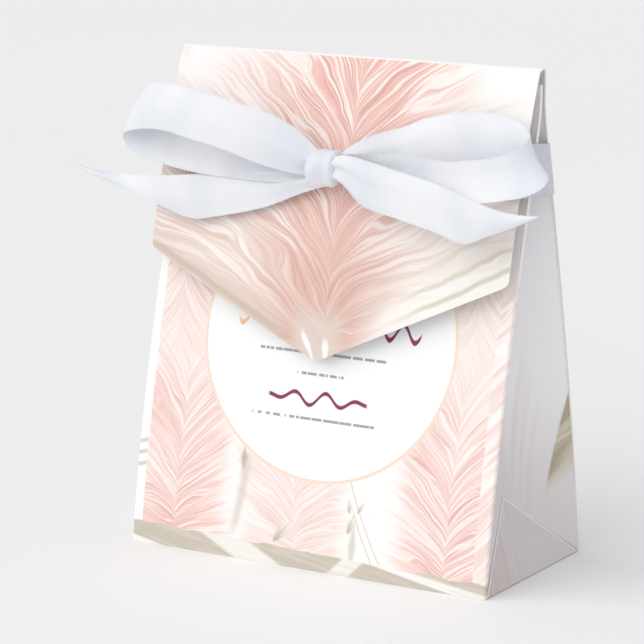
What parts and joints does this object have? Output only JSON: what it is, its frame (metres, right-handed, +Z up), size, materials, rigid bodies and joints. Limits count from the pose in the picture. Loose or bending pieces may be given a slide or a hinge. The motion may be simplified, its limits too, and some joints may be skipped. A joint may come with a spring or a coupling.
{
  "type": "tent favour box",
  "caption": "Folded-card tent favour box with leaning walls, gusseted sides, a pointed front flap and a satin ribbon tied round it in a bow.",
  "frame": {"origin": "centre of the base, on its underside, where the box stands", "axes": "+X to the right across the front, +Y from the front to the back, +Z up; the flap and the bow are at the front, -Y"},
  "size_m": [0.1512, 0.0576, 0.14],
  "materials": {
    "plain_card": "uncoated white card, matt",
    "printed_card": "white card printed with soft pink plumes, satin varnish",
    "side_card": "white card with faint pink streaks, satin varnish",
    "flap_card": "white card printed with one large pink plume, satin varnish",
    "satin": "white satin ribbon with stitched edges"
  },
  "bodies": {
    "carton_base": {"base_panel": "plain_card", "base_tuck_flap": "plain_card", "base_dust_flap_left": "plain_card", "base_dust_flap_right": "plain_card"},
    "front_wall": {"front_panel": "printed_card"},
    "back_wall": {"back_panel": "printed_card", "ridge_strip": "printed_card"},
    "facet_left": {"side_facet_left": "side_card"},
    "facet_right": {"side_facet_right": "side_card"},
    "fold_front_left": {"gusset_front_left": "side_card"},
    "fold_front_right": {"gusset_front_right": "side_card"},
    "fold_back_left": {"gusset_back_left": "side_card"},
    "fold_back_right": {"gusset_back_right": "side_card"},
    "flap": {"closure_flap": "flap_card"},
    "ribbon": {"ribbon_belt": "satin", "bow_knot": "satin", "bow_loop_left": "satin", "bow_loop_right": "satin", "bow_tail_left": "satin", "bow_tail_right": "satin"}
  },
  "joints": [
    {"name": "ribbon_lift", "type": "slide", "parent": "carton_base", "child": "ribbon", "axis": [0, -0.1, 0.995], "range_m": [0, 0.18]},
    {"name": "flap_open", "type": "hinge", "parent": "back_wall", "child": "flap", "pos_m": [0, -0.0016, 0.1399], "axis": [-1, 0, 0], "range_deg": [0, 112]},
    {"name": "front_wall_open", "type": "hinge", "parent": "carton_base", "child": "front_wall", "pos_m": [0, -0.0288, 0], "axis": [1, 0, 0], "range_deg": [0, 3]},
    {"name": "back_wall_open", "type": "hinge", "parent": "carton_base", "child": "back_wall", "pos_m": [0, 0.0288, 0], "axis": [-1, 0, 0], "range_deg": [0, 3]},
    {"name": "facet_left_open", "type": "hinge", "parent": "carton_base", "child": "facet_left", "pos_m": [-0.057, 0, 0.0003], "axis": [0, -1, 0], "range_deg": [0, 9.3]},
    {"name": "facet_right_open", "type": "hinge", "parent": "carton_base", "child": "facet_right", "pos_m": [0.057, 0, 0.0003], "axis": [0, 1, 0], "range_deg": [0, 9.3]},
    {"name": "fold_front_left_open", "type": "hinge", "parent": "front_wall", "child": "fold_front_left", "pos_m": [-0.057, -0.0284, 0], "axis": [0, 0.1948, 0.9808], "range_deg": [0, 9]},
    {"name": "fold_front_right_open", "type": "hinge", "parent": "front_wall", "child": "fold_front_right", "pos_m": [0.057, -0.0284, 0], "axis": [0, -0.1948, -0.9808], "range_deg": [0, 9]},
    {"name": "fold_back_left_open", "type": "hinge", "parent": "back_wall", "child": "fold_back_left", "pos_m": [-0.057, 0.0284, 0], "axis": [0, 0.1948, -0.9808], "range_deg": [0, 9]},
    {"name": "fold_back_right_open", "type": "hinge", "parent": "back_wall", "child": "fold_back_right", "pos_m": [0.057, 0.0284, 0], "axis": [0, -0.1948, 0.9808], "range_deg": [0, 9]}
  ],
  "couplings": [
    {"joint": "flap_open", "follows": "ribbon_lift", "rad_per_m": 10.86},
    {"joint": "front_wall_open", "follows": "ribbon_lift", "rad_per_m": 0.29088},
    {"joint": "back_wall_open", "follows": "ribbon_lift", "rad_per_m": 0.29088},
    {"joint": "facet_left_open", "follows": "ribbon_lift", "rad_per_m": 0.90175},
    {"joint": "facet_right_open", "follows": "ribbon_lift", "rad_per_m": 0.90175},
    {"joint": "fold_front_left_open", "follows": "ribbon_lift", "rad_per_m": 0.87266},
    {"joint": "fold_front_right_open", "follows": "ribbon_lift", "rad_per_m": 0.87266},
    {"joint": "fold_back_left_open", "follows": "ribbon_lift", "rad_per_m": 0.87266},
    {"joint": "fold_back_right_open", "follows": "ribbon_lift", "rad_per_m": 0.87266}
  ]
}
